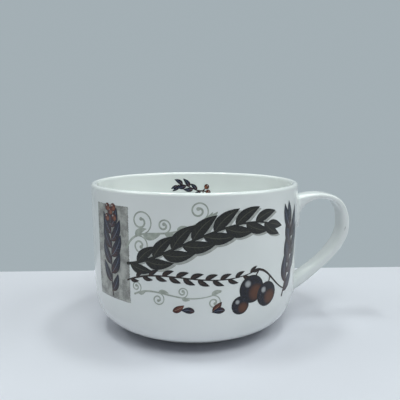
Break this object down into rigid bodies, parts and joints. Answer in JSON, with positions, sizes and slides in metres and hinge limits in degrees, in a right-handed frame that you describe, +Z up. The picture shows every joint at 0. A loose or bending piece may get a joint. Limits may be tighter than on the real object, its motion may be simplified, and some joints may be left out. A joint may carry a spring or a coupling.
{
  "type": "porcelain coffee cup",
  "caption": "Wide porcelain coffee cup with a rounded shoulder, a foot ring, a strap handle stuck on with slip, and leaf prints fired onto the glaze.",
  "frame": {"origin": "on the surface the cup stands on, under the middle of its whole footprint, handle included", "axes": "+Z up, +X from the bowl towards the handle, -Y the front"},
  "size_m": [0.1404, 0.11, 0.0775],
  "materials": {
    "porcelain": "white porcelain under a clear gloss glaze, unglazed on the bottom of the foot ring",
    "fired_slip": "the same white body, fired smooth under the glaze",
    "print_ink": "olive, navy and brown ceramic inks fired onto the glaze"
  },
  "bodies": {
    "root": {"bowl": "porcelain", "handle": "porcelain", "upper_slip_joint": "fired_slip", "lower_slip_joint": "fired_slip", "front_transfer": "print_ink", "back_transfer": "print_ink", "inner_transfer": "print_ink"}
  },
  "joints": []
}
